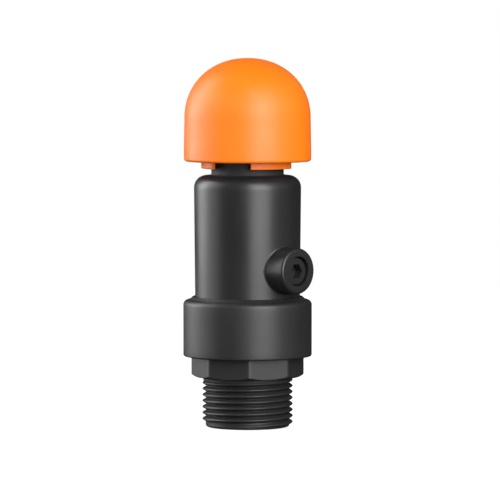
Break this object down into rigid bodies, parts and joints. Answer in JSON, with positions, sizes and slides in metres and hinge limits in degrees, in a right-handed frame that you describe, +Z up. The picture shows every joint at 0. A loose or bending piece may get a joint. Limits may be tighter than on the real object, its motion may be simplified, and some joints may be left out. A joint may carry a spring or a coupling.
{
  "type": "air release valve",
  "caption": "Double-acting plastic air release valve: orange push-fit hood, black housing with plugged side port, float and sealing disc inside, one-inch male inlet thread.",
  "frame": {"origin": "centre of the inlet end face, on the valve axis, where the valve stands on its thread", "axes": "+Z up along the valve axis towards the hood, -Y towards the viewer of the picture, side port towards +X -Y"},
  "size_m": [0.0477, 0.0477, 0.1353],
  "materials": {
    "black_nylon": "satin moulded, glass filled",
    "orange_polypropylene": "satin moulded",
    "natural_acetal": "moulded, natural colour",
    "foamed_polypropylene": "foamed, fine skin",
    "rubber": "matt",
    "stainless_steel": "bright",
    "brass": "turned"
  },
  "bodies": {
    "housing": {"base": "black_nylon", "body": "black_nylon", "body_oring": "rubber", "float_cage": "natural_acetal", "orifice_seal": "rubber", "seal_retainer": "natural_acetal", "vent_guard": "natural_acetal"},
    "hood": {"dome_cap": "orange_polypropylene"},
    "disc_group": {"seal_disc": "natural_acetal", "nozzle": "brass", "nozzle_oring": "rubber", "hanger": "natural_acetal", "hanger_screw_1": "stainless_steel", "hanger_screw_2": "stainless_steel", "hanger_screw_3": "stainless_steel"},
    "float_group": {"float": "foamed_polypropylene", "float_stem": "natural_acetal", "stem_screw_1": "stainless_steel", "stem_screw_2": "stainless_steel", "stem_screw_3": "stainless_steel", "nozzle_pad": "rubber", "pad_retainer": "natural_acetal"},
    "plug_seal": {"port_plug_oring": "rubber"},
    "plug": {"port_plug": "black_nylon"}
  },
  "joints": [
    {"name": "hood_turn", "type": "hinge", "parent": "housing", "child": "hood", "pos_m": [0, 0, 0.0975], "axis": [0, 0, 1], "continuous": true},
    {"name": "disc_lift", "type": "slide", "parent": "housing", "child": "disc_group", "axis": [0, 0, 1], "range_m": [0, 0.008]},
    {"name": "float_lift", "type": "slide", "parent": "disc_group", "child": "float_group", "axis": [0, 0, 1], "range_m": [0, 0.0025]},
    {"name": "port_plug_travel", "type": "slide", "parent": "housing", "child": "plug_seal", "axis": [0.7071, -0.7071, 0], "range_m": [0, 0.0054]},
    {"name": "port_plug_turn", "type": "hinge", "parent": "plug_seal", "child": "plug", "pos_m": [0, 0, 0.0582], "axis": [0.7071, -0.7071, 0], "range_deg": [0, 2150]}
  ],
  "couplings": [
    {"joint": "port_plug_turn", "follows": "port_plug_travel", "rad_per_m": 6927.6}
  ]
}
